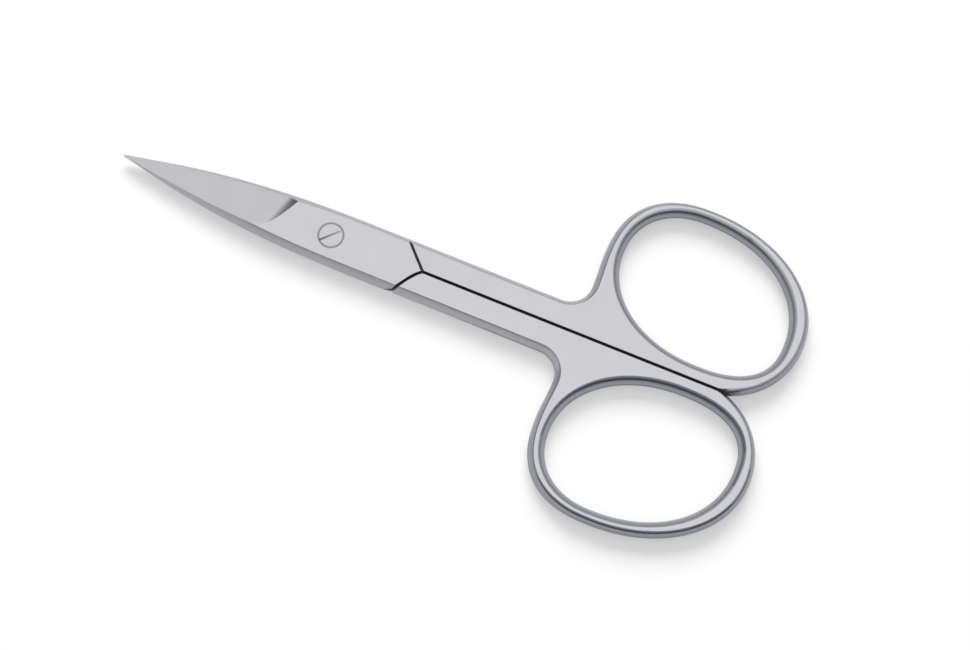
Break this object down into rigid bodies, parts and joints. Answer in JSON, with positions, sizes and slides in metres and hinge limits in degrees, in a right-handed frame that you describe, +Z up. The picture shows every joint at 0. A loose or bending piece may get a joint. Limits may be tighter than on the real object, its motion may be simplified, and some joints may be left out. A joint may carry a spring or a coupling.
{
  "type": "nail and cuticle scissors",
  "caption": "Small forged scissors with straight pointed blades, a flush screw pivot and oval finger rings, for nails and cuticles.",
  "frame": {"origin": "bottom centre of the closed scissors' box: on the face they lie on, midway between the blade tips and the ends of the rings", "axes": "+X from the blade tips to the finger rings along the centre line, +Y towards the ring of the front half, +Z up through the pivot towards the screw head"},
  "size_m": [0.09, 0.044, 0.0026],
  "materials": {
    "blade_steel": "satin, fine brushed grain",
    "screw_steel": "satin, turned"
  },
  "bodies": {
    "back": {"back_half": "blade_steel", "pivot_screw": "screw_steel"},
    "front": {"front_half": "blade_steel"}
  },
  "joints": [
    {"name": "pivot", "type": "hinge", "parent": "back", "child": "front", "pos_m": [-0.0158, 0, 0.0013], "axis": [0, 0, 1], "range_deg": [0, 90]}
  ]
}
